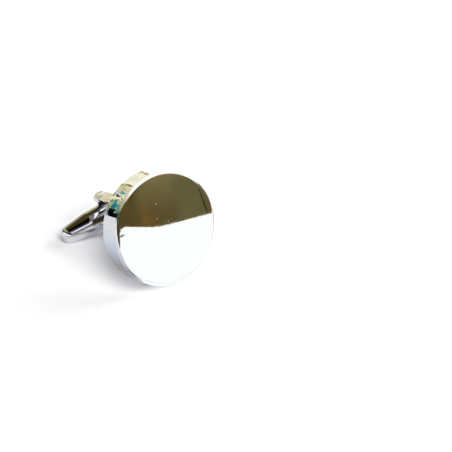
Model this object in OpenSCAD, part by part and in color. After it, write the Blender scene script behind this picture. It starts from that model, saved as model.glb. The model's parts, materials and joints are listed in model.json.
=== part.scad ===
/* [Head] */
// Diameter of the round head
head_d = 18; // [16:0.5:22]
// Thickness of the head, from its mirror face to its back
head_t = 4.2; // [3:0.1:6]
// Radius of the rounded edge round the mirror face
face_edge_r = 0.45; // [0.2:0.05:0.8]
// Radius of the eased edge round the back
back_edge_r = 0.25; // [0.1:0.05:0.6]

/* [Arm frame] */
// Distance from the back of the head to the pivot
pivot_reach = 15.1; // [13.5:0.1:18]
// Width of the strip that the two arms are bent from
strip_w = 2.5; // [2.2:0.1:3.2]
// Thickness of the strip
strip_t = 0.62; // [0.6:0.02:0.8]
// Outside radius of the two bends at the foot
bend_r = 1.35; // [1:0.05:1.8]
// Radius that tumbling leaves on the edges of the strip
strip_edge_r = 0.12; // [0.05:0.01:0.2]

/* [Toggle] */
// Length of the toggle, tip to tip
toggle_l = 18; // [16:0.5:20]
// Diameter of the toggle's straight middle
toggle_d = 4.1; // [3.8:0.05:4.4]
// Length of the straight middle
middle_l = 7.2; // [5:0.2:8]
// Radius of the shoulder where the middle runs into each taper
shoulder_r = 2.5; // [2.2:0.1:6]
// Radius of the rounded tips
toggle_tip_r = 1.53; // [1.3:0.01:1.7]
// Diameter of the boss that fills the toggle out to the arms
boss_d = 2; // [1.9:0.1:2.4]
// Length of the boss, across both of its flat ends
boss_l = 5.6; // [5.2:0.1:6]

/* [Pivot] */
// Diameter of the pin's shank
pin_d = 1.3; // [1.2:0.1:1.5]
// Diameter of the head that the pin is made with, on the lower arm
rivet_d = 1.7; // [1.6:0.1:2]
// Height of that head, a cap of a sphere
rivet_h = 0.45; // [0.25:0.05:0.6]
// Diameter of the button that the pin's other end is pressed into, on the upper arm
button_d = 1.8; // [1.7:0.1:2.1]
// Height of the button
button_h = 0.4; // [0.3:0.05:0.5]
// Radius of the button's rounded edge
button_edge_r = 0.2; // [0.1:0.05:0.25]
// Radial clearance of the toggle's bore on the shank
bore_clear = 0.04; // [0.02:0.01:0.08]
// Radial clearance of the arms' holes on the shank
rivet_clear = 0.01; // [0.01:0.01:0.03]
// Side clearance between each end of the boss and its arm
side_clear = 0.05; // [0.03:0.01:0.08]

/* [Joint] */
// Radius of the solder fillet round the foot
fillet_r = 0.4; // [0.3:0.05:0.5]
// How far short of a feather edge the solder stops
toe = 0.04; // [0.03:0.01:0.06]

/* [Hidden] */

$fn = 96;

// How far a cutter runs past what it cuts
overrun = 1;

// Head: its back lies on the plane y = 0 and its face looks along -y
head_r = head_d / 2;

// Arms: half of the boss, a side clearance, then the strip
arm_in = boss_l / 2 + side_clear;
arm_out = arm_in + strip_t;
arm_mid = arm_in + strip_t / 2;
bend_mid = bend_r - strip_t / 2;
foot_half = arm_out - bend_r;

// Pin: the lower head is the cap of a sphere
cap_r = (pow(rivet_d / 2, 2) + pow(rivet_h, 2)) / (2 * rivet_h);
cap_at = arm_out + rivet_h - cap_r;

// Toggle: a straight taper joins the shoulder's arc to the tip's, tangent to both
tip_at = toggle_l / 2 - toggle_tip_r;
shoulder_at = shoulder_r - toggle_d / 2;
taper_run = tip_at - middle_l / 2;
taper = atan2(taper_run, shoulder_at) - acos((shoulder_r - toggle_tip_r) / norm([taper_run, shoulder_at]));

// Solder: it climbs the bends up to the height of the fillet
wedge_end = foot_half + sqrt(pow(bend_r, 2) - pow(bend_r - fillet_r, 2)) + fillet_r;

// At rest the cufflink lies on three points: the back edge of the head, the lower
// rivet and one tip of the toggle. Roll about the post and lean of the post settle
// each other in a few rounds.
function rest_roll(lean) =
    acos((toggle_tip_r - cap_r) / cos(lean) / norm([cap_at, tip_at]))
    - atan2(tip_at, cap_at);
function rest_lean(roll) =
    let (run = pivot_reach + back_edge_r,
         drop = head_r - back_edge_r - cap_at * cos(roll))
    atan2(drop, run) + asin((back_edge_r - cap_r) / norm([run, drop]));
function settle(lean, rounds) =
    rounds == 0 ? lean : settle(rest_lean(rest_roll(lean)), rounds - 1);
lean = settle(0, 6);
roll = rest_roll(lean);

// Height of the head's back centre above the table, and the two ends of the model in y
lift = (head_r - back_edge_r) * cos(lean) - back_edge_r * sin(lean) + back_edge_r;
pivot_tilt = sin(lean) * cos(roll);
arm_reach = (arm_out - strip_edge_r) * pivot_tilt
    + (strip_w / 2 - strip_edge_r) * sqrt(1 - pow(pivot_tilt, 2)) + strip_edge_r;
toggle_tilt = sin(roll) * sin(lean);
tip_reach = tip_at * toggle_tilt + toggle_tip_r;
shoulder_reach = middle_l / 2 * toggle_tilt + shoulder_r - shoulder_at * sqrt(1 - pow(toggle_tilt, 2));
toggle_reach = asin(toggle_tilt) < taper ? shoulder_reach : tip_reach;
y_back = pivot_reach * cos(lean) + max(arm_reach, toggle_reach);
y_front = -(head_t - face_edge_r) * cos(lean) - (head_r - face_edge_r) * sin(lean) - face_edge_r;

// Puts a piece, drawn with the post along y, where it lies on the table
module at_rest() {
    translate([0, -(y_front + y_back) / 2, lift])
        rotate([-lean, 0, 0])
            rotate([0, -roll, 0])
                children();
}

// Turned profile of the head, with round front and back edges
module head_profile() {
    square([head_r - face_edge_r, head_t]);
    translate([0, back_edge_r])
        square([head_r, head_t - back_edge_r - face_edge_r]);
    square([head_r - back_edge_r, head_t - face_edge_r]);
    translate([head_r - face_edge_r, head_t - face_edge_r])
        circle(face_edge_r);
    translate([head_r - back_edge_r, back_edge_r])
        circle(back_edge_r);
}

module head_disc() {
    color([0.88, 0.88, 0.86])
        at_rest()
            rotate([90, 0, 0])
                rotate_extrude($fn = 180)
                    head_profile();
}

// Cross-section of the strip, thick along x and wide along y
module strip_section() {
    square([strip_t, strip_w - 2 * strip_edge_r], center = true);
    square([strip_t - 2 * strip_edge_r, strip_w], center = true);
    for (sx = [-1, 1], sy = [-1, 1])
        translate([sx * (strip_t / 2 - strip_edge_r), sy * (strip_w / 2 - strip_edge_r)])
            circle(strip_edge_r, $fn = 32);
}

// One arm of the frame, drawn on the +z side: bend, straight run and round end
module arm() {
    translate([0, bend_r, arm_mid])
        rotate([-90, 0, 0])
            linear_extrude(pivot_reach - bend_r)
                rotate(90)
                    strip_section();
    translate([0, bend_r, foot_half])
        rotate([0, 90, 0])
            rotate([0, 0, 180])
                rotate_extrude(angle = 90)
                    translate([bend_mid, 0])
                        strip_section();
    translate([0, pivot_reach, arm_mid])
        rotate_extrude()
            intersection() {
                rotate(90)
                    strip_section();
                translate([0, -strip_t])
                    square([strip_w, 2 * strip_t]);
            }
}

// The bent strip without its holes
module arm_solid() {
    translate([0, strip_t / 2, -foot_half])
        linear_extrude(2 * foot_half)
            rotate(90)
                strip_section();
    arm();
    mirror([0, 0, 1])
        arm();
}

module arm_frame() {
    color([0.8, 0.82, 0.8])
        at_rest()
            difference() {
                arm_solid();
                translate([0, pivot_reach, -arm_out - overrun])
                    cylinder(r = pin_d / 2 + rivet_clear, h = 2 * (arm_out + overrun));
            }
}

// Solder drawn into the corner between the foot and the back of the head
module solder_fillet() {
    side_at = strip_w / 2 + fillet_r;
    color([0.75, 0.76, 0.74])
        at_rest()
            difference() {
                translate([toe - side_at, 0, toe - wedge_end])
                    cube([2 * (side_at - toe), fillet_r - toe, 2 * (wedge_end - toe)]);
                for (side = [-1, 1]) {
                    translate([side * side_at, fillet_r, -wedge_end - overrun])
                        cylinder(r = fillet_r, h = 2 * (wedge_end + overrun));
                    translate([-side_at - overrun, fillet_r, side * wedge_end])
                        rotate([0, 90, 0])
                            cylinder(r = fillet_r, h = 2 * (side_at + overrun));
                }
                arm_solid();
            }
}

// Riveted head, drawn on the +z end of the pin
module rivet_head() {
    intersection() {
        translate([0, 0, cap_at])
            sphere(cap_r);
        translate([0, 0, arm_out])
            cylinder(r = rivet_d, h = 2 * rivet_h);
    }
}

// Flat-topped end with a rounded edge
module button() {
    flat_r = button_d / 2 - button_edge_r;
    translate([0, 0, arm_out])
        rotate_extrude() {
            square([flat_r, button_h]);
            square([button_d / 2, button_h - button_edge_r]);
            translate([flat_r, button_h - button_edge_r])
                circle(button_edge_r);
        }
}

module pivot_pin() {
    color([0.9, 0.88, 0.82])
        at_rest()
            translate([0, pivot_reach, 0]) {
                translate([0, 0, -arm_out])
                    cylinder(r = pin_d / 2, h = 2 * arm_out);
                button();
                mirror([0, 0, 1])
                    rivet_head();
            }
}

// Half of the toggle's turned profile: radius along x, length along y
module toggle_profile() {
    middle = middle_l / 2;
    taper_from = middle + shoulder_r * sin(taper);
    taper_to = tip_at + toggle_tip_r * sin(taper);
    square([toggle_d / 2, middle]);
    intersection() {
        translate([-shoulder_at, middle])
            circle(shoulder_r, $fn = 360);
        square([toggle_d / 2, taper_from]);
    }
    polygon([
        [0, middle],
        [shoulder_r * cos(taper) - shoulder_at, taper_from],
        [toggle_tip_r * cos(taper), taper_to],
        [0, taper_to]
    ]);
    intersection() {
        translate([0, tip_at])
            circle(toggle_tip_r);
        square([toggle_d, toggle_l]);
    }
}

module toggle_bar() {
    color([0.62, 0.6, 0.52])
        at_rest()
            translate([0, pivot_reach, 0])
                difference() {
                    union() {
                        rotate([0, 90, 0])
                            rotate_extrude() {
                                toggle_profile();
                                mirror([0, 1, 0])
                                    toggle_profile();
                            }
                        cylinder(d = boss_d, h = boss_l, center = true);
                    }
                    cylinder(r = pin_d / 2 + bore_clear, h = boss_l + 2 * overrun, center = true);
                }
}

head_disc();
arm_frame();
solder_fillet();
pivot_pin();
toggle_bar();
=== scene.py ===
import bpy, bmesh, json, math
from mathutils import Matrix, Vector


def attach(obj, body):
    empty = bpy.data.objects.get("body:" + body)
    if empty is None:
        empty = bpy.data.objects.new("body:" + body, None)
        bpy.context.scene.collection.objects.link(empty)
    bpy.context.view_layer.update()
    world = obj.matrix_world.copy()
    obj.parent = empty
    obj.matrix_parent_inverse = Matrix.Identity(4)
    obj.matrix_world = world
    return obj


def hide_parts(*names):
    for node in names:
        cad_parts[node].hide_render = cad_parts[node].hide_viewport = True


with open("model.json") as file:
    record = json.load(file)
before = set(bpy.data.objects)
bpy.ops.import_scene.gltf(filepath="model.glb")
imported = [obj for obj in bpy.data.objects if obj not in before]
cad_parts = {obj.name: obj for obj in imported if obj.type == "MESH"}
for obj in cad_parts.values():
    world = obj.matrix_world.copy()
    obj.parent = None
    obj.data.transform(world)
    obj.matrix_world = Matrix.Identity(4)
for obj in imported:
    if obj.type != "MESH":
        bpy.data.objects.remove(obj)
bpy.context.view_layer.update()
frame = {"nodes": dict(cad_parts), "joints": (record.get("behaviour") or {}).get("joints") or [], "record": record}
print("packed model loaded")

scene = bpy.context.scene
record = frame["record"]
mm = 0.001
weldGap = 0.0005 * mm            # vertices closer than this become one
tolerance = 0.001 * mm           # for picking edges by where they lie
sharpAngle = math.radians(30)    # shading stays smooth across edges that bend less than this


def addNode(tree, kind, settings=None, links=None):
    # a setting goes to the node if it has one of that name, and else to its input
    node = tree.nodes.new(kind)
    for name, value in (settings or {}).items():
        if isinstance(name, str) and hasattr(node, name):
            setattr(node, name, value)
        else:
            node.inputs[name].default_value = value
    for name, source in (links or {}).items():
        tree.links.new(source, node.inputs[name])
    return node


def maths(tree, operation, first, second=0):
    # each side is a number or another node's output
    node = addNode(tree, "ShaderNodeMath", {"operation": operation})
    for slot, value in zip(node.inputs, (first, second)):
        if isinstance(value, (int, float)):
            slot.default_value = value
        else:
            tree.links.new(value, slot)
    return node.outputs[0]


def noiseAt(tree, place, size, detail):
    return addNode(tree, "ShaderNodeTexNoise", {"Scale": 1 / size, "Detail": detail},
                   {"Vector": place})


def mapRange(tree, value, fromLow, fromHigh, toLow=0, toHigh=1):
    return addNode(tree, "ShaderNodeMapRange", {1: fromLow, 2: fromHigh, 3: toLow, 4: toHigh},
                   {0: value}).outputs[0]


def fromHex(code, alpha=1.0):
    # the standard curve from a written colour to linear light
    parts = [int(code[i:i + 2], 16) / 255 for i in (0, 2, 4)]
    return [p / 12.92 if p <= 0.04045 else ((p + 0.055) / 1.055) ** 2.4 for p in parts] + [alpha]


def mixColour(tree, part, first, second):
    # each colour is a hex code or another node's output; 6, 7 and 2 are this node's colour sockets
    node = addNode(tree, "ShaderNodeMix", {"data_type": "RGBA"}, {0: part})
    for slot, colour in ((6, first), (7, second)):
        if isinstance(colour, str):
            node.inputs[slot].default_value = fromHex(colour)
        else:
            tree.links.new(colour, node.inputs[slot])
    return node.outputs[2]


def newMaterial(name):
    mat = bpy.data.materials.new(name)
    mat.use_nodes = True
    mat.node_tree.nodes.clear()
    return mat, mat.node_tree


def linkObject(bm, name, mat=None):
    mesh = bpy.data.meshes.new(name)
    bm.to_mesh(mesh)
    bm.free()
    if mat:
        mesh.materials.append(mat)
    obj = bpy.data.objects.new(name, mesh)
    scene.collection.objects.link(obj)
    return obj


def spinRound(bm, geom, centre, axis, angle, steps, close=False):
    # sweeps points or edges about an axis and returns the last copy
    swept = bmesh.ops.spin(bm, geom=geom, cent=centre, axis=axis, dvec=(0, 0, 0), angle=angle,
                           steps=steps, use_merge=close, use_normal_flip=False,
                           use_duplicate=False)
    return swept["geom_last"]


def roundEdges(bm, edges, radius, steps):
    # a profile of 0.5 is a quarter circle
    bmesh.ops.bevel(bm, geom=edges, offset=radius, offset_type="OFFSET", segments=steps,
                    profile=0.5, affect="EDGES", material=-1)


def weld(bm):
    bmesh.ops.remove_doubles(bm, verts=bm.verts, dist=weldGap)


def mirrorHalf(bm, axis):
    bmesh.ops.mirror(bm, geom=bm.verts[:] + bm.edges[:] + bm.faces[:], axis=axis,
                     merge_dist=weldGap)


# the cufflink lies tilted on the table, so its own axes come from the record
faceMount = next(m for m in record["mounts"] if m["name"] == "mirror_face")
pivotJoint = frame["joints"][0]
postAxis = -Vector(faceMount["axis"]).normalized()
pivotAxis = Vector(pivotJoint["axis"]).normalized()
toggleAxis = postAxis.cross(pivotAxis)
pivotPoint = Vector(pivotJoint["pos_m"])

head = {
    "radius": 9.0 * mm,
    "thickness": 4.2 * mm,
    "faceEdge": 0.45 * mm,
    "backEdge": 0.25 * mm,
    "support": 0.02 * mm,    # thin ring that keeps the rim and the back flat up to their edges
    "rollOff": 0.16 * mm,    # buffing rounds the mirror off a little before its edge
    "steps": 360,
    "faceSteps": 12,
    "backSteps": 8,
}
backCentre = Vector(faceMount["pos_m"]) + postAxis * head["thickness"]
restTurn = Matrix((toggleAxis, postAxis, pivotAxis)).transposed().to_4x4()
restPlace = Matrix.Translation(backCentre) @ restTurn
pivotReach = (pivotPoint - backCentre).length
print("pivot", round(pivotReach / mm, 3), "mm behind the head")

# every piece is polished brass under a bright rhodium plate: a cold pale grey whose look comes
# from what it reflects. Sizes are in millimetres, and "grain" is how far a mark runs along the
# piece's own x, y and z
finishes = {
    # buffed on a soft wheel: a true mirror with faint hairlines and a speck of dust here and there
    "rhodiumMirror": {"tones": ("D4D5D6", "D1D3D4"), "polish": 0.006, "haze": 0.035,
                      "grain": (4, 0.5, 0.04), "lineHeight": 0.00002,
                      "waveSize": 0.35, "waveHeight": 0.00012,
                      "dustSize": 0.085, "dustApart": 1.9, "dustShare": 0.25,
                      # three specks that the photograph shows: place on the face, then radius
                      "specks": [((-1.75, -7.62, 13.81), 0.055), ((-1.7, -8.37, 11.59), 0.06),
                                 ((0.24, -8.59, 10.91), 0.06)]},
    # stamped and bent before plating: soft waves and drawn lines break up what the arms reflect
    "platedStrip": {"tones": ("D5D6D6", "CBCCCB"), "polish": 0.02, "haze": 0.1,
                    "grain": (0.07, 3, 0.07), "lineHeight": 0.0006,
                    "waveSize": 0.8, "waveHeight": 0.012,
                    "dustSize": 0.05, "dustApart": 1.1, "dustShare": 0.15},
    # turned and then tumbled: fine rings run round the bar and its shine wavers along them
    "platedToggle": {"tones": ("D4D4D6", "CDCED0"), "polish": 0.015, "haze": 0.07,
                     "grain": (0.06, 2.5, 2.5), "lineHeight": 0.00015,
                     "waveSize": 1.4, "waveHeight": 0.0012,
                     "dustSize": 0.05, "dustApart": 1.3, "dustShare": 0.12},
    # hammered over and polished again: its ends keep small soft facets
    "platedRivet": {"tones": ("D3D4D4", "C6C7C6"), "polish": 0.03, "haze": 0.12,
                    "grain": (0.3, 0.3, 0.3), "lineHeight": 0.002,
                    "waveSize": 0.45, "waveHeight": 0.01,
                    "dustSize": 0.04, "dustApart": 0.9, "dustShare": 0.2},
    # solder that flowed and froze under the plate: duller and lumpier, with a trace of flux
    "platedSolder": {"tones": ("C9C9C6", "A9A79E"), "polish": 0.14, "haze": 0.34,
                     "grain": (0.15, 0.15, 0.15), "lineHeight": 0.004,
                     "waveSize": 0.4, "waveHeight": 0.02,
                     "dustSize": 0.05, "dustApart": 0.7, "dustShare": 0.3},
}
wear = {
    "detail": 2,               # octaves of the noise behind lines and waves
    "hazeRange": (0.5, 0.75),  # levels of the lines' noise where haze begins and is full
    "dustCore": 0.5,           # part of a speck's radius that is all dust
    "dustColour": "DAD5C2",
}
materials = {}


def platedMetal(name, look):
    mat, tree = newMaterial(name)
    place = addNode(tree, "ShaderNodeTexCoord").outputs["Object"]
    along = addNode(tree, "ShaderNodeMapping", {
        "vector_type": "TEXTURE", "Location": restPlace.translation,
        "Rotation": restPlace.to_euler(), "Scale": [size * mm for size in look["grain"]],
    }, {"Vector": place})
    lines = noiseAt(tree, along.outputs[0], 1, wear["detail"]).outputs[0]
    waves = noiseAt(tree, place, look["waveSize"] * mm, wear["detail"]).outputs[0]
    # grains of dust at random, then the ones with a place of their own
    dust = addNode(tree, "ShaderNodeTexVoronoi", {"Scale": 1 / (look["dustApart"] * mm)},
                   {"Vector": place})
    speck = look["dustSize"] / look["dustApart"]
    inside = mapRange(tree, dust.outputs["Distance"], speck, wear["dustCore"] * speck)
    draw = addNode(tree, "ShaderNodeSeparateColor", links={0: dust.outputs["Color"]})
    kept = maths(tree, "LESS_THAN", draw.outputs[0], look["dustShare"])
    dusty = maths(tree, "MULTIPLY", inside, kept)
    for at, radius in look.get("specks", []):
        away = addNode(tree, "ShaderNodeVectorMath",
                       {"operation": "DISTANCE", 1: [v * mm for v in at]}, {0: place})
        grain = maths(tree, "LESS_THAN", away.outputs["Value"], radius * mm)
        dusty = maths(tree, "MAXIMUM", dusty, grain)
    tone = mixColour(tree, waves, *look["tones"])
    colour = mixColour(tree, dusty, tone, wear["dustColour"])
    metal = maths(tree, "SUBTRACT", 1, dusty)
    shine = mapRange(tree, lines, *wear["hazeRange"], look["polish"], look["haze"])
    rough = maths(tree, "MAXIMUM", shine, dusty)
    wavy = addNode(tree, "ShaderNodeBump", {"Strength": 1, "Distance": look["waveHeight"] * mm},
                   {"Height": waves})
    lined = addNode(tree, "ShaderNodeBump", {"Strength": 1, "Distance": look["lineHeight"] * mm},
                    {"Height": lines, "Normal": wavy.outputs[0]})
    bsdf = addNode(tree, "ShaderNodeBsdfPrincipled", links={
        "Base Color": colour, "Metallic": metal, "Roughness": rough, "Normal": lined.outputs[0]})
    addNode(tree, "ShaderNodeOutputMaterial", links={"Surface": bsdf.outputs["BSDF"]})
    materials[name] = mat


for name, look in finishes.items():
    platedMetal(name, look)
print("finishes made")


def shadeSmooth(mesh):
    for face in mesh.polygons:
        face.use_smooth = True
    mesh.set_sharp_from_angle(angle=sharpAngle)


def finishPiece(bm, name, mat, body, node):
    weld(bm)
    bmesh.ops.recalc_face_normals(bm, faces=bm.faces)
    bmesh.ops.transform(bm, matrix=restPlace, verts=bm.verts)
    piece = linkObject(bm, name, materials[mat])
    shadeSmooth(piece.data)
    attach(piece, body)
    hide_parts(node)
    return piece


def ringEdges(bm, radius, y):
    return [e for e in bm.edges if all(
        abs(v.co.y - y) < tolerance and abs(math.hypot(v.co.x, v.co.z) - radius) < tolerance
        for v in e.verts)]


def makeHead():
    r, t = head["radius"], head["thickness"]
    faceRing = head["faceEdge"] + head["support"]
    backRing = head["backEdge"] + head["support"]
    outline = [(0, -t), (r - head["faceEdge"] - head["rollOff"], -t), (r, -t), (r, faceRing - t),
               (r, -backRing), (r, 0), (r - backRing, 0), (0, 0)]
    bm = bmesh.new()
    verts = [bm.verts.new((x, y, 0)) for x, y in outline]
    edges = [bm.edges.new(pair) for pair in zip(verts, verts[1:])]
    spinRound(bm, verts + edges, (0, 0, 0), (0, 1, 0), 2 * math.pi, head["steps"], close=True)
    weld(bm)
    roundEdges(bm, ringEdges(bm, r, -t), head["faceEdge"], head["faceSteps"])
    roundEdges(bm, ringEdges(bm, r, 0), head["backEdge"], head["backSteps"])
    finishPiece(bm, "head_mirror", "rhodiumMirror", "link", "head_disc")


makeHead()
print("head made")

arms = {
    "width": 2.5 * mm,
    "thickness": 0.62 * mm,
    "inner": 2.85 * mm,       # half of the gap between the arms
    "bendRadius": 1.35 * mm,
    "edge": 0.12 * mm,
    "support": 0.01 * mm,     # thin ring beside each rounded edge
    "hole": 0.66 * mm,
    "bendSteps": 24,
    "endSteps": 64,
    "edgeSteps": 6,
    "corner": math.radians(60),    # edges that bend more than this are rounded
}
drillSteps = 96


def makeTool(bm, name):
    # a drill or a plug, drawn along the pivot axis, used once and removed
    bmesh.ops.translate(bm, vec=(0, pivotReach, 0), verts=bm.verts)
    bmesh.ops.transform(bm, matrix=restPlace, verts=bm.verts)
    return linkObject(bm, name)


def applyBoolean(piece, tool, operation):
    cut = piece.modifiers.new("cut", "BOOLEAN")
    cut.object = tool
    cut.operation = operation
    cut.solver = "EXACT"
    depsgraph = bpy.context.evaluated_depsgraph_get()
    shaped = bpy.data.meshes.new_from_object(piece.evaluated_get(depsgraph))
    piece.modifiers.clear()
    old = piece.data
    piece.data = shaped
    bpy.data.meshes.remove(old)
    bpy.data.objects.remove(tool)
    shadeSmooth(shaped)


def boreThrough(piece, radius, reach):
    bm = bmesh.new()
    bmesh.ops.create_cone(bm, cap_ends=True, segments=drillSteps, radius1=radius, radius2=radius,
                          depth=2 * reach)
    applyBoolean(piece, makeTool(bm, "drill"), "DIFFERENCE")


def keepOnly(geom, kind):
    return [g for g in geom if isinstance(g, kind)]


def withVerts(edges):
    return list(dict.fromkeys(v for edge in edges for v in edge.verts)) + edges


def pushOut(bm, edges, vec):
    grown = bmesh.ops.extrude_edge_only(bm, edges=edges)["geom"]
    bmesh.ops.translate(bm, vec=vec, verts=keepOnly(grown, bmesh.types.BMVert))
    return keepOnly(grown, bmesh.types.BMEdge)


def makeArms():
    w, t, e, s = arms["width"], arms["thickness"], arms["edge"], arms["support"]
    footHalf = arms["inner"] + t - arms["bendRadius"]
    # cross-section of the strip at the middle of the foot
    xs = [-w / 2, -w / 2 + e + s, 0, w / 2 - e - s, w / 2]
    ys = [0, e + s, t - e - s, t]
    section = [(x, 0) for x in xs] + [(w / 2, y) for y in ys[1:]]
    section += [(x, t) for x in xs[::-1][1:]] + [(-w / 2, y) for y in ys[::-1][1:-1]]
    bm = bmesh.new()
    verts = [bm.verts.new((x, y, 0)) for x, y in section]
    loop = [bm.edges.new(pair) for pair in zip(verts, verts[1:] + verts[:1])]
    # half of the foot, the bend, then one arm
    loop = pushOut(bm, loop, (0, 0, footHalf))
    loop = keepOnly(spinRound(bm, withVerts(loop), (0, arms["bendRadius"], footHalf), (-1, 0, 0),
                              math.pi / 2, arms["bendSteps"]), bmesh.types.BMEdge)
    loop = pushOut(bm, loop, (0, pivotReach - arms["bendRadius"], 0))
    # half of the section turns about the pin to make the round end
    half = [edge for edge in loop if all(v.co.x > -tolerance for v in edge.verts)]
    spinRound(bm, withVerts(half), (0, pivotReach, 0), (0, 0, 1), math.pi, arms["endSteps"])
    weld(bm)
    mirrorHalf(bm, "Z")
    weld(bm)
    bmesh.ops.recalc_face_normals(bm, faces=bm.faces)
    corners = [edge for edge in bm.edges
               if len(edge.link_faces) == 2 and edge.calc_face_angle() > arms["corner"]]
    roundEdges(bm, corners, e, arms["edgeSteps"])
    piece = finishPiece(bm, "arm_strip", "platedStrip", "link", "arm_frame")
    boreThrough(piece, arms["hole"], 2 * arms["inner"])


makeArms()
print("arms made")

rivet = {
    "shank": 0.65 * mm,
    "head": 0.85 * mm,
    "height": 0.45 * mm,         # domed head on the lower arm
    "button": 0.9 * mm,
    "buttonHeight": 0.4 * mm,    # flat-topped end on the upper arm
    "buttonEdge": 0.2 * mm,
    "crown": 0.02 * mm,          # the button's top is not quite flat
    "steps": 96,
    "domeSteps": 16,
    "edgeSteps": 8,
}


def makeRivet():
    out = arms["inner"] + arms["thickness"]
    domeRadius = (rivet["head"] ** 2 + rivet["height"] ** 2) / (2 * rivet["height"])
    low, high = -out - rivet["height"], out + rivet["buttonHeight"]
    bm = bmesh.new()
    # the dome of the lower head, then the shank and the button, all in one outline
    dome = spinRound(bm, [bm.verts.new((0, pivotReach, low))], (0, pivotReach, low + domeRadius),
                     (0, -1, 0), math.asin(rivet["head"] / domeRadius), rivet["domeSteps"])
    outline = keepOnly(dome, bmesh.types.BMVert)
    for x, z in ((rivet["shank"], -out), (rivet["shank"], out), (rivet["button"], out),
                 (rivet["button"], high - rivet["crown"]), (0, high)):
        outline.append(bm.verts.new((x, pivotReach, z)))
    for pair in zip(outline, outline[1:]):
        bm.edges.new(pair)
    spinRound(bm, bm.verts[:] + bm.edges[:], (0, pivotReach, 0), (0, 0, 1), 2 * math.pi,
              rivet["steps"], close=True)
    weld(bm)
    rim = [edge for edge in bm.edges
           if all(abs(v.co.z - high + rivet["crown"]) < tolerance for v in edge.verts)]
    roundEdges(bm, rim, rivet["buttonEdge"], rivet["edgeSteps"])
    finishPiece(bm, "rivet_pin", "platedRivet", "link", "pivot_pin")


makeRivet()
print("rivet made")

toggle = {
    "halfLength": 9.0 * mm,
    "radius": 2.05 * mm,
    "middleHalf": 3.6 * mm,
    "shoulder": 2.5 * mm,
    "tip": 1.53 * mm,
    "bossRadius": 1.0 * mm,
    "bossHalf": 2.8 * mm,
    "bossEdge": 0.08 * mm,
    "bore": 0.69 * mm,
    "steps": 192,
    "shoulderSteps": 12,
    "tipSteps": 32,
    "bossSteps": 128,
    "edgeSteps": 4,
}


def makeBoss():
    bm = bmesh.new()
    bmesh.ops.create_cone(bm, cap_ends=True, segments=toggle["bossSteps"],
                          radius1=toggle["bossRadius"], radius2=toggle["bossRadius"],
                          depth=2 * toggle["bossHalf"])
    rims = [edge for edge in bm.edges if any(len(face.verts) > 4 for face in edge.link_faces)]
    roundEdges(bm, rims, toggle["bossEdge"], toggle["edgeSteps"])
    return makeTool(bm, "boss")


def makeToggle():
    # a straight taper joins the shoulder's arc to the tip's, tangent to both
    tipAt = toggle["halfLength"] - toggle["tip"]
    drop = toggle["shoulder"] - toggle["radius"]
    run = tipAt - toggle["middleHalf"]
    swing = math.acos((toggle["shoulder"] - toggle["tip"]) / math.hypot(run, drop))
    taper = math.atan2(run, drop) - swing
    bm = bmesh.new()
    middle = bm.verts.new((0, pivotReach + toggle["radius"], 0))
    corner = bm.verts.new((toggle["middleHalf"], pivotReach + toggle["radius"], 0))
    bm.edges.new((middle, corner))
    spinRound(bm, [corner], (toggle["middleHalf"], pivotReach - drop, 0), (0, 0, -1), taper,
              toggle["shoulderSteps"])
    tipTop = bm.verts.new((toggle["halfLength"], pivotReach, 0))
    spinRound(bm, [tipTop], (tipAt, pivotReach, 0), (0, 0, 1), math.pi / 2 - taper,
              toggle["tipSteps"])
    bm.edges.new([v for v in bm.verts if len(v.link_edges) == 1 and v not in (middle, tipTop)])
    spinRound(bm, bm.verts[:] + bm.edges[:], (0, pivotReach, 0), (1, 0, 0), 2 * math.pi,
              toggle["steps"], close=True)
    weld(bm)
    mirrorHalf(bm, "X")
    piece = finishPiece(bm, "toggle_torpedo", "platedToggle", "toggle",
                        "toggle_bar")
    applyBoolean(piece, makeBoss(), "UNION")
    boreThrough(piece, toggle["bore"], 2 * toggle["bossHalf"])


makeToggle()
print("toggle made")

solder = frame["nodes"]["solder_fillet"].data
solder.materials.clear()
solder.materials.append(materials["platedSolder"])
print("solder plated")

# table and light
stage = {
    "floorRadius": 1.4,
    "floorSteps": 96,
    "floorColour": "F4F4F6",
    "floorGlow": 0.07,       # keeps the open table white where the shadow doesn't reach
    "glowColour": "E6ECFF",
    "glowInMetal": "A8BEFF",
    "skyColour": "FFFFFF",
    "skyLight": 0.02,        # strength of the sky as a light
    "skySeen": 1.0,          # and as what is seen behind everything
    # strength, turn from the front towards the right, rise, spread, all three in degrees, tint
    "lamps": {"window_light": (3.82, -10, 44, 50, "FFFDFA"),
              "side_light": (2.08, 97, 26, 46, "FBFCFF")},
}


def stageObject(bm, name, mat):
    obj = linkObject(bm, name, mat)
    return obj


def seenRays(tree, path):
    # 1 for rays that show a thing, 0 for rays that only light others
    seen = maths(tree, "MAXIMUM", path.outputs["Is Camera Ray"], path.outputs["Is Glossy Ray"])
    return maths(tree, "MAXIMUM", seen, path.outputs["Is Transmission Ray"])


def makeTable():
    # white paper: the eye and the metal see it a little brighter than the lamps alone make it
    mat, tree = newMaterial("whitePaper")
    path = addNode(tree, "ShaderNodeLightPath")
    glow = maths(tree, "MULTIPLY", seenRays(tree, path), stage["floorGlow"])
    paper = addNode(tree, "ShaderNodeBsdfDiffuse", {"Color": fromHex(stage["floorColour"])})
    tint = mixColour(tree, path.outputs["Is Glossy Ray"], stage["glowColour"],
                     stage["glowInMetal"])
    light = addNode(tree, "ShaderNodeEmission", links={"Color": tint, "Strength": glow})
    both = addNode(tree, "ShaderNodeAddShader", links={0: paper.outputs[0], 1: light.outputs[0]})
    addNode(tree, "ShaderNodeOutputMaterial", links={"Surface": both.outputs[0]})
    bm = bmesh.new()
    bmesh.ops.create_circle(bm, cap_ends=True, segments=stage["floorSteps"],
                            radius=stage["floorRadius"])
    stageObject(bm, "table_top", mat)


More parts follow.
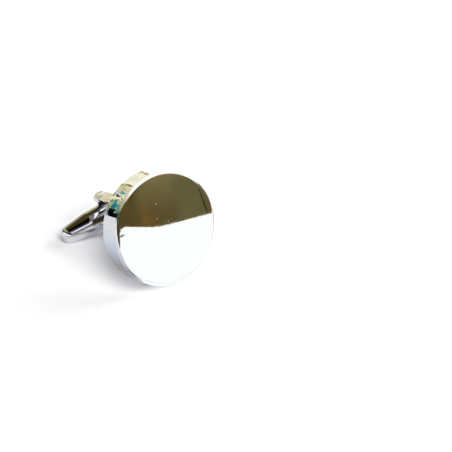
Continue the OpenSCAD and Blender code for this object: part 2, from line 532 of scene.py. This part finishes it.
def makeSky():
    # white to the eye, and very faint as a light
    world = bpy.data.worlds.new("paleRoom")
    scene.world = world
    world.use_nodes = True
    tree = world.node_tree
    tree.nodes.clear()
    seen = seenRays(tree, addNode(tree, "ShaderNodeLightPath"))
    lit, shown = [
        addNode(tree, "ShaderNodeBackground",
                {"Color": fromHex(stage["skyColour"]), "Strength": strength}).outputs[0]
        for strength in (stage["skyLight"], stage["skySeen"])]
    mixed = addNode(tree, "ShaderNodeMixShader", links={0: seen, 1: lit, 2: shown})
    addNode(tree, "ShaderNodeOutputWorld", links={"Surface": mixed.outputs[0]})


def towards(turn, rise):
    # unit vector to a place given by its turn from the front and its rise, in degrees
    turn, rise = math.radians(turn), math.radians(rise)
    flat = math.cos(rise)
    return Vector((math.sin(turn) * flat, -math.cos(turn) * flat, math.sin(rise)))


def makeLamp(name, strength, turn, rise, spread, tint):
    lampData = bpy.data.lights.new(name, "SUN")
    lampData.energy = strength
    lampData.color = fromHex(tint)[:3]
    lampData.angle = math.radians(spread)
    lamp = bpy.data.objects.new(name, lampData)
    scene.collection.objects.link(lamp)
    lamp.rotation_euler = towards(turn, rise).to_track_quat("Z", "Y").to_euler()
    lamp.visible_glossy = False


makeTable()
makeSky()
for name, lamp in stage["lamps"].items():
    makeLamp(name, *lamp)
print("table and lamps made")

# the light tent and, as painted reflections, the room that the polished metal reflects: glowing cards that only
# reflections see.
# The metal gives back about two thirds, so each card shines that much brighter than its colours,
# and "glow" brightens it further.
# A curved card's "shape" is a list of (turn, low, high): turn goes from the front (0) to the right
# (90), low and high are rises, all in degrees; it stands "away" metres from the origin, and
# "ragged" roughens its outline by that many degrees. A flat card has a corner and two sides in
# millimetres, and shows on one side only; "fade" softens its borders.
# "left", "right" and "top" are colours that run into each other. "bands" are colours at turns, or
# at millimetres along the first side. "marks" are spots: from, to, low, high, colour, where low
# and high are parts of the card's height. "cloud" is how much a noise of size "grain", in metres,
# varies the glow. "patches" is how many uneven spots a noise puts along each side, and "wander"
# how far it shifts bands and marks
cards = {
    "light_tent": {
        "away": 1.3, "left": "FFFFFF", "right": "FFFFFF", "top": "FFFEFA",
        "shape": [(-180, -1, 89.9), (180, -1, 89.9)]},
    "doorway": {
        "away": 0.8, "left": "4A5553", "right": "452F19", "top": "5B5736",
        "cloud": 0.2, "grain": 0.12,
        "shape": [(-150, -4, 7), (-120, 8, 21), (-88, 14, 31), (-55, 10, 37), (-25, 6, 41),
                  (-12, 3, 37), (2, 2, 29), (15, 3.5, 20), (25, 4.6, 13)]},
    "door_top": {
        "away": 0.81, "left": "DBBC83", "right": "A8632A", "top": "D8A860",
        "cloud": 0.1, "grain": 0.1,
        "shape": [(-12, 28, 40), (2, 22, 34), (12, 14, 26), (20, 9.5, 20), (25, 8, 15),
                  (33, 7.5, 13), (38, 8, 11)]},
    "brown_wall": {
        "away": 0.8, "left": "5E4C29", "right": "5C5437", "top": "80774F",
        "cloud": 0.1, "grain": 0.02, "ragged": 0.035,
        "shape": [(25, 4.4, 12), (26.6, 4.6, 11.5), (27.1, 5.1, 11.2), (27.3, 5.4, 11),
                  (27.6, 5.5, 10.8), (28.2, 5.32, 10.4), (29.2, 5.08, 9.8), (29.9, 4.96, 9.3),
                  (33.4, 5.0, 9.2), (38, 4.9, 11)],
        "marks": [(25.4, 28.8, -0.4, 1.4, "544725"), (28.8, 29.8, 0.03, 0.26, "65502A"),
                  (31.2, 33.4, -0.1, 0.7, "605A39"), (29.4, 42, 0.85, 1.16, "35260F")]},
    "shelf_edge": {
        "away": 0.79, "left": "4E584E", "right": "8A8E86", "top": "5A6258",
        "shape": [(26.8, 4.8, 4.98), (27.2, 4.88, 5.02), (27.5, 4.98, 5.03)]},
    "door_frame": {
        "away": 0.79, "left": "2E2A18", "right": "2E2A18", "top": "3C351D",
        "shape": [(33.03, 6.8, 6.9), (33.11, 5.9, 6.8), (33.2, 5.1, 6.0), (33.28, 5.0, 5.2)]},
    "right_wall": {
        "away": 0.8, "left": "5B5437", "right": "A6A091", "top": "8A8268",
        "cloud": 0.1, "grain": 0.1,
        "shape": [(38, 4.9, 13), (60, 4, 18), (80, 3, 18), (100, 0, 14), (125, -3, 8)]},
    "side_box": {
        "away": 0.06, "left": "6E6652", "right": "9A948A", "top": "7C7462",
        "cloud": 0.1, "grain": 0.01,
        "shape": [(47, -1, 3), (58, -1, 9), (116, -1, 9), (125, -1, 3)]},
    "back_wall": {
        "away": 0.85, "left": "C9CAA8", "right": "C4C59F", "top": "D8D6BA",
        "cloud": 0.45, "grain": 0.02,
        "shape": [(160, -2, 30), (185, -4, 34), (212, -8, 42)],
        "marks": [(160.3, 163, 0.1, 0.24, "8C9E8C"), (163.8, 166.4, 0.24, 0.37, "DCC4A6"),
                  (162.4, 163.8, 0.3, 0.42, "F2F0E0")]},
    "green_wall": {
        "away": 0.9, "left": "96A48C", "right": "8C8A5C", "top": "F0ECDC",
        "cloud": 0.15, "grain": 0.1,
        "shape": [(-155, 4, 52), (-120, 16, 62), (-85, 26, 62), (-50, 33, 60), (-18, 36, 52)]},
    # what the upper left of the rim shows: a pale wall, a shrub and a dark ground line
    "garden": {
        "away": 0.088, "patches": (18, 3.4), "wander": (1.7, 0.2), "cloud": 0.2, "grain": 0.0011,
        "shape": [(-208, 8, 11), (-203, 13.2, 16.2), (-200, 15.3, 18.2), (-193.5, 18.6, 21.5),
                  (-186.5, 20.6, 23.7), (-179.3, 21.3, 24.6), (-171.8, 20.5, 23.5),
                  (-164.9, 18.4, 21.3), (-158.6, 15.0, 17.9), (-153.1, 10.6, 13.5),
                  (-148.6, 5.0, 8.1), (-145, -1, 1.8), (-144, -2, 0.5)],
        "bands": [(-208, "FFFFFF"), (-205, "FAF8EC"), (-199, "EEEACD"), (-187, "E0DEC4"),
                  (-181, "F4F2DC"), (-172, "D2C79C"), (-166, "BFC3B2"), (-159, "F6ECC2"),
                  (-155, "A9B68E"), (-149.5, "86946C"), (-146.5, "7E8E96"), (-144, "9AA2B4")],
        "marks": [(-204.3, -200.3, 0.1, 0.9, "A99C74"), (-178.4, -176.2, 0.35, 0.95, "85784A"),
                  (-175.6, -173.9, 0.02, 0.55, "7A6C44"), (-171.6, -170.2, 0.3, 0.8, "A5966A"),
                  (-168.2, -164.4, 0.6, 0.9, "4E8E96"), (-166.2, -164.6, 0.1, 0.4, "9AB8BC"),
                  (-163.6, -160.3, 0.1, 0.35, "544A30"), (-162.6, -160.4, 0.5, 0.72, "2C2E58"),
                  (-159.4, -158, 0.72, 0.95, "6C5A34"), (-157.2, -151.5, 0.5, 0.78, "35808A"),
                  (-156.4, -154.8, 0.1, 0.3, "6E8A5C"), (-152.8, -147.6, 0.58, 0.92, "1C7076"),
                  (-151.5, -149.5, 0.05, 0.28, "3E4234"), (-150.6, -149.2, 0.3, 0.5, "A8A476"),
                  (-149.3, -142, 0.4, 1.3, "030406")]},
    "black_box": {
        "away": 0.09, "left": "0A1016", "right": "07090C", "top": "10181A",
        "cloud": 0.1, "grain": 0.1,
        "shape": [(-146.6, -1, 6), (-144.5, -1, 7.2), (-137.3, -1, 9.5), (-128.4, 0, 14.7),
                  (-121, 2, 16.6)]},
    "teal_box": {
        "away": 0.091, "left": "5E8684", "right": "2E5552", "top": "6F938C",
        "cloud": 0.3, "grain": 0.003,
        "shape": [(-155.6, 12.7, 14), (-150, 7.9, 12), (-146.7, 5, 12.6), (-135.5, 8.6, 15),
                  (-121, 14, 18)]},
    "olive_box": {
        "away": 0.093, "left": "C8C294", "right": "66745A", "top": "9AA07C",
        "cloud": 0.3, "grain": 0.004,
        "shape": [(-165, 8, 20), (-150, -1, 14), (-143, -1, 13), (-125, 4, 18)]},
    # painted reflections and shade on the toggle: dark cards over it that only reflections see
    "toggle_flag": {
        "corner": (-12.1, 3, 6.4), "across": (0, 16, 0), "upwards": (7.7, 0, 0),
        "bands": [(3, "8A8798"), (4.6, "1C1C2C"), (5.8, "060608"), (7.2, "080506"), (8.6, "483D1F"),
                  (10, "352A16"), (12, "7E7A60"), (15, "BDBAA2"), (19, "CECDB4")]},
    "pivot_flag": {
        "corner": (-4.4, 8.2, 6.4), "across": (0, 8, 0), "upwards": (2.6, 0, 0),
        "bands": [(8.2, "62605A"), (9.2, "2B2412"), (9.7, "2A2413"), (10.6, "7C7A58"),
                  (12, "C2C09C"), (16.2, "D4D2BA")]},
    "middle_flag": {
        "corner": (-4.4, 5.2, 6.4), "across": (0, 3, 0), "upwards": (1.5, 0, 0),
        "bands": [(5.2, "5E5856"), (6.5, "726E6A"), (7.4, "848380"), (8.2, "605E52")]},
    # painted shade in the gap between the parts
    "gap_painted_shade": {
        "corner": (-3.4, 5, 3.5), "across": (0, 0, 3.3), "upwards": (4.9, 0, 0),
        "bands": [(3.5, "39302C"), (6.8, "2E2622")]},
    # painted shade under the upper arm
    "arm_painted_shade": {
        "corner": (-2.6, 6, 4.8), "across": (0, 4, 0), "upwards": (0, 0, 1.4),
        "bands": [(6, "100808"), (10, "070404")]},
    # painted light and shade on the table, which only reflections see
    "lit_patch": {
        "corner": (4.2, 0, 0.06), "across": (2.5, 0, 0), "upwards": (0, 4.6, 0),
        "glow": 1.6, "fade": True,
        "bands": [(4.2, "FFFFFF"), (6.7, "FFFFFF")]},
    "near_painted_light": {
        "corner": (-3.6, -7.6, 0.06), "across": (4.6, 0, 0), "upwards": (0, 7.6, 0),
        "glow": 1.15, "fade": True,
        "bands": [(-3.6, "C6C4C4"), (-1.8, "CECAC4"), (-0.8, "E8E4DC"), (1, "ECE9E3")]},
    "far_painted_light": {
        "corner": (-8, 14.5, 0.06), "across": (17, 0, 0), "upwards": (0, 90, 0),
        "glow": 1.6, "fade": True,
        "bands": [(-8, "EEF0F2"), (9, "FFFFFF")]},
    "tip_painted_shade": {
        "corner": (-9.8, 2.6, 0.06), "across": (6.6, 0, 0), "upwards": (0, 6.2, 0), "fade": True,
        "bands": [(-9.8, "D2D4DA"), (-7, "D6D4D9"), (-5.5, "CECBCF"), (-4.6, "C6C4C8"),
                  (-3.2, "A8A4A4")]},
    "post_shade": {
        "corner": (-3.4, 2, 0.07), "across": (2, 0, 0), "upwards": (0, 4, 0), "fade": True,
        "bands": [(-3.4, "6C6672"), (-1.4, "645E68")]},
    "left_shade": {
        "corner": (-1.6, -4.5, 0.05), "across": (-21.8, 21.8, 0), "upwards": (0, -9.5, 0),
        "fade": True,
        "bands": [(1.6, "8A8C8F"), (7.8, "939294"), (10, "A8ABB3"), (12.5, "BAC0CE"),
                  (16, "CED2DC"), (23.4, "DBDEE4")]},
    "front_shade": {
        "corner": (-21, -20, 0.04), "across": (17, 0, 0), "upwards": (0, 11.5, 0), "fade": True,
        "bands": [(-21, "CDD1D6"), (-15, "BABDCA"), (-8.3, "7B8094"), (-4, "D8DAE0")]},
    "far_shade": {
        "corner": (-24, -95, 0.04), "across": (13, 0, 0), "upwards": (0, 75, 0), "fade": True,
        "bands": [(-24, "C2C6CC"), (-11, "B7BAC1")]},
    # a pale card over the pivot paints a pale reflection on the rivet's button, then white paper in front and to
    # the right of the head
    "button_shine": {
        "corner": (-0.9, 8.4, 6.7), "across": (-2, 1.5, 0), "upwards": (0, 0, 1.6),
        "bands": [(0, "D6D2B0"), (2.5, "DCDCB6")]},
    "right_paper": {
        "corner": (12, -100, 0.2), "across": (188, 0, 0), "upwards": (0, 400, 0),
        "bands": [(12, "FFFFFF"), (200, "FFFFFF")]},
    "front_paper": {
        "corner": (-5, -200, 0.2), "across": (17, 0, 0), "upwards": (0, 191, 0),
        "bands": [(-5, "FFFFFF"), (12, "FFFFFF")]},
}
cardLook = {
    "columns": 240,
    "rows": 4,
    "markEdge": (1.15, 0.75),       # parts of half a span where it fades to nothing and is full
    "fadeSpan": (0.065, 0.935),     # parts of a faded card's sides that its soft borders stay in
    "topPower": 2,                  # how late the top colour comes in on the way up
    "cloudRange": (0.3, 0.7),       # levels of the cloud noise that dim and brighten the most
    "cloudDetail": 4,
    "patchDetail": 3,
    "patchGain": 5,                 # stretches the patch noise to about the full "wander"
    "raggedWaves": (401, 137),      # two frequencies that make up a ragged outline
}
# linear share of the light that the plate gives back
plateReturns = fromHex(finishes["rhodiumMirror"]["tones"][0])[1]


def shapeAt(shape, turn, column):
    # straight-line reading of a card's outline at one turn
    for before, after in zip(shape, shape[1:]):
        if turn <= after[0]:
            part = (turn - before[0]) / (after[0] - before[0])
            return before[column] + part * (after[column] - before[column])
    return shape[-1][column]


def insideSpan(tree, value, low, high):
    # 1 in the middle of the span, falling softly to 0 at its ends
    half = (high - low) / 2
    far = maths(tree, "ABSOLUTE", maths(tree, "SUBTRACT", value, low + half))
    none, full = cardLook["markEdge"]
    return mapRange(tree, far, none * half, full * half)


def wanderOff(tree, card, place, sides, span):
    # a noise shifts both sides, so that bands and marks come out uneven
    spots = addNode(tree, "ShaderNodeVectorMath",
                    {"operation": "MULTIPLY", 1: card["patches"] + (1,)}, {0: place})
    noise = noiseAt(tree, spots.outputs[0], 1, cardLook["patchDetail"])
    shift = addNode(tree, "ShaderNodeSeparateColor", links={0: noise.outputs["Color"]})
    reach = (card["wander"][0] / span, card["wander"][1])
    moved = []
    for k, side in enumerate(sides):
        offset = maths(tree, "SUBTRACT", shift.outputs[k], 0.5)
        offset = maths(tree, "MULTIPLY", offset, cardLook["patchGain"] * reach[k])
        moved.append(maths(tree, "ADD", side, offset))
    return moved


def cardColour(tree, card, place):
    part = addNode(tree, "ShaderNodeSeparateXYZ", links={0: place})
    u, v = part.outputs["X"], part.outputs["Y"]
    ends = card["shape"] if "shape" in card else card["bands"]
    first, span = ends[0][0], ends[-1][0] - ends[0][0]
    if "patches" in card:
        u, v = wanderOff(tree, card, place, (u, v), span)
    if "bands" in card:
        ramp = addNode(tree, "ShaderNodeValToRGB", links={0: u})
        for at, code in card["bands"][1:-1]:
            ramp.color_ramp.elements.new((at - first) / span)
        for stop, (at, code) in zip(ramp.color_ramp.elements, card["bands"]):
            stop.position = (at - first) / span
            stop.color = fromHex(code)
        colour = ramp.outputs[0]
    else:
        side = mixColour(tree, u, card["left"], card["right"])
        colour = mixColour(tree, maths(tree, "POWER", v, cardLook["topPower"]), side, card["top"])
    for start, stop, low, high, code in card.get("marks", []):
        along = insideSpan(tree, u, (start - first) / span, (stop - first) / span)
        mask = maths(tree, "MULTIPLY", along, insideSpan(tree, v, low, high))
        colour = mixColour(tree, mask, colour, code)
    return colour


def cardMaterial(name, card):
    mat, tree = newMaterial(name + "Glow")
    place = addNode(tree, "ShaderNodeAttribute", {"attribute_name": "spread"}).outputs["Vector"]
    strength = card.get("glow", 1) / plateReturns
    glow = addNode(tree, "ShaderNodeEmission", {"Strength": strength},
                   {"Color": cardColour(tree, card, place)})
    if "cloud" in card:
        where = addNode(tree, "ShaderNodeTexCoord").outputs["Object"]
        noise = noiseAt(tree, where, card["grain"], cardLook["cloudDetail"]).outputs[0]
        shade = mapRange(tree, noise, *cardLook["cloudRange"],
                         (1 - card["cloud"]) * strength, (1 + card["cloud"]) * strength)
        tree.links.new(shade, glow.inputs["Strength"])
    seen = glow.outputs[0]
    if "corner" in card:
        hidden = addNode(tree, "ShaderNodeNewGeometry").outputs["Backfacing"]
        clear = addNode(tree, "ShaderNodeBsdfTransparent")
        if "fade" in card:
            part = addNode(tree, "ShaderNodeSeparateXYZ", links={0: place})
            inner = [insideSpan(tree, part.outputs[k], *cardLook["fadeSpan"]) for k in (0, 1)]
            veil = maths(tree, "SUBTRACT", 1, maths(tree, "MULTIPLY", *inner))
            hidden = maths(tree, "MAXIMUM", hidden, veil)
        seen = addNode(tree, "ShaderNodeMixShader",
                       links={0: hidden, 1: seen, 2: clear.outputs[0]}).outputs[0]
    addNode(tree, "ShaderNodeOutputMaterial", links={"Surface": seen})
    return mat


def cardPoint(card, u, v):
    if "corner" in card:
        corner, across, upwards = [Vector(card[key]) for key in ("corner", "across", "upwards")]
        return (corner + u * across + v * upwards) * mm
    shape = card["shape"]
    turn = shape[0][0] + u * (shape[-1][0] - shape[0][0])
    low, high = shapeAt(shape, turn, 1), shapeAt(shape, turn, 2)
    if "ragged" in card:
        low += card["ragged"] * math.prod(math.sin(w * turn) for w in cardLook["raggedWaves"])
    return towards(turn, low + v * (high - low)) * card["away"]


def makeCard(name, card):
    bm = bmesh.new()
    bmesh.ops.create_grid(bm, x_segments=cardLook["columns"], y_segments=cardLook["rows"], size=0.5)
    layer = bm.verts.layers.float_vector.new("spread")
    for vert in bm.verts:
        u, v = vert.co.x + 0.5, vert.co.y + 0.5
        vert[layer] = (u, v, 0)
        vert.co = cardPoint(card, u, v)
    obj = stageObject(bm, name, cardMaterial(name, card))
    for kind in ("camera", "diffuse", "transmission", "shadow", "volume_scatter"):
        setattr(obj, "visible_" + kind, False)


for name, card in cards.items():
    makeCard(name, card)
print("room made")

# the photograph's view, fitted to its outlines and kept in the cufflink's own axes
view = {
    "right": (0.75775, -0.57962, -0.29989),
    "up": (0.45285, 0.13591, 0.88122),
    "place": (-65.221, -132.847, 53.868),    # millimetres from the middle of the head's back
    "focalPixels": 1000,
    "framePixels": 452,
    "sensor": 36,                            # millimetres, as the lens
    "clip": (0.01, 10),                      # metres
}
cameraData = bpy.data.cameras.new("photo_camera")
cameraData.sensor_width = view["sensor"]
cameraData.lens = view["sensor"] * view["focalPixels"] / view["framePixels"]
cameraData.clip_start, cameraData.clip_end = view["clip"]
camera = bpy.data.objects.new("photo_camera", cameraData)
scene.collection.objects.link(camera)
right = Vector(view["right"]).normalized()
up = Vector(view["up"]).normalized()
lookTurn = Matrix((right, up, right.cross(up))).transposed().to_4x4()
camera.matrix_world = restPlace @ Matrix.Translation(Vector(view["place"]) * mm) @ lookTurn
scene.camera = camera
scene.view_settings.view_transform = "Standard"
print("camera", [round(v / mm, 1) for v in camera.matrix_world.translation])
